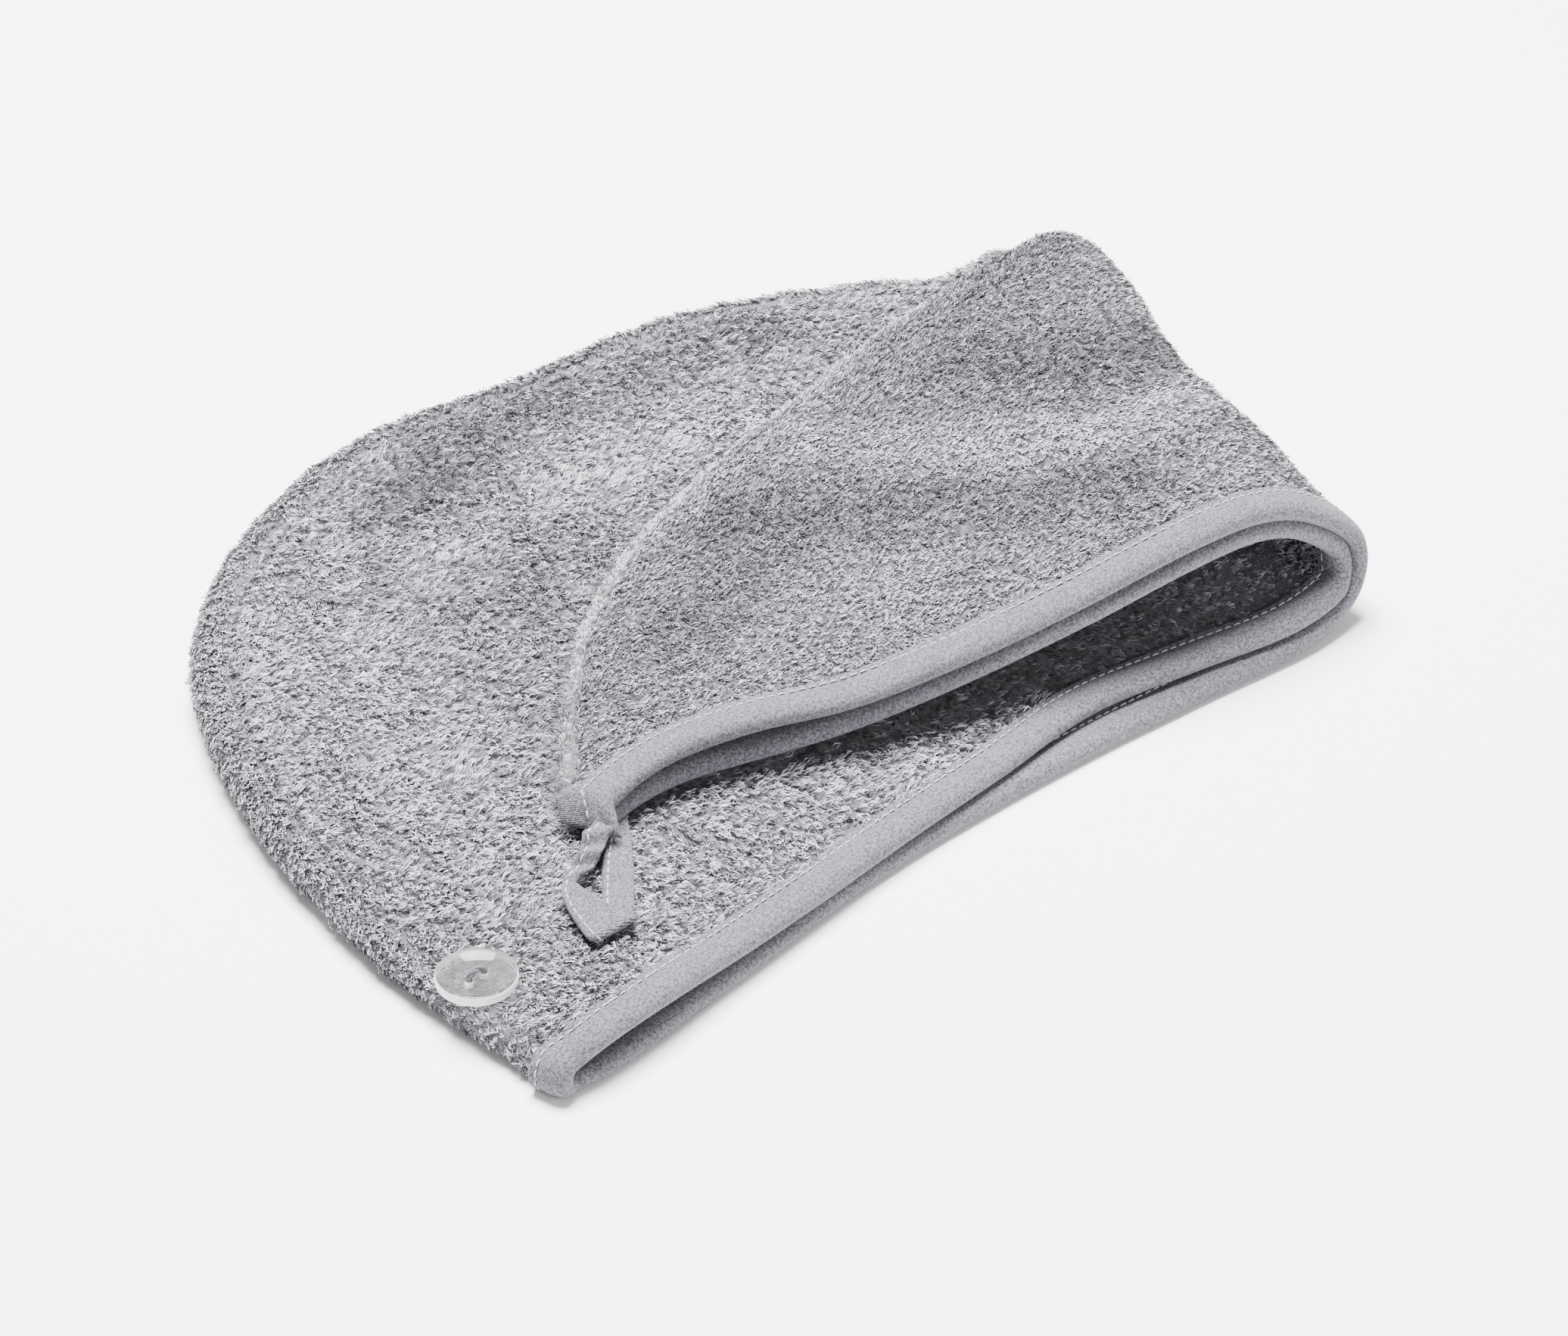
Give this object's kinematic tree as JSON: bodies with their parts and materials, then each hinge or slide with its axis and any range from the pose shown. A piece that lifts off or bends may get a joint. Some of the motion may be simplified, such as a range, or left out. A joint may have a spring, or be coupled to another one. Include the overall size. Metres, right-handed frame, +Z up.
{
  "type": "hair turban towel",
  "caption": "Hair turban towel in looped terry with a bound mouth, a clear button and a button loop, lying flat with its tail folded over the hood.",
  "frame": {"origin": "centre of the footprint on the surface that the towel lies on", "axes": "+X along the mouth from the button corner to the fold, +Y from the mouth to the crown seam, +Z up"},
  "size_m": [0.3848, 0.2832, 0.0601],
  "materials": {
    "terry": "looped pile",
    "tape": "smooth knit",
    "clear_button": "gloss",
    "thread": "twisted thread"
  },
  "bodies": {
    "root": {"terry_panel_lower": "terry", "terry_panel_upper": "terry", "mouth_binding": "tape", "button_loop": "tape", "button": "clear_button", "button_thread": "thread"}
  },
  "joints": []
}
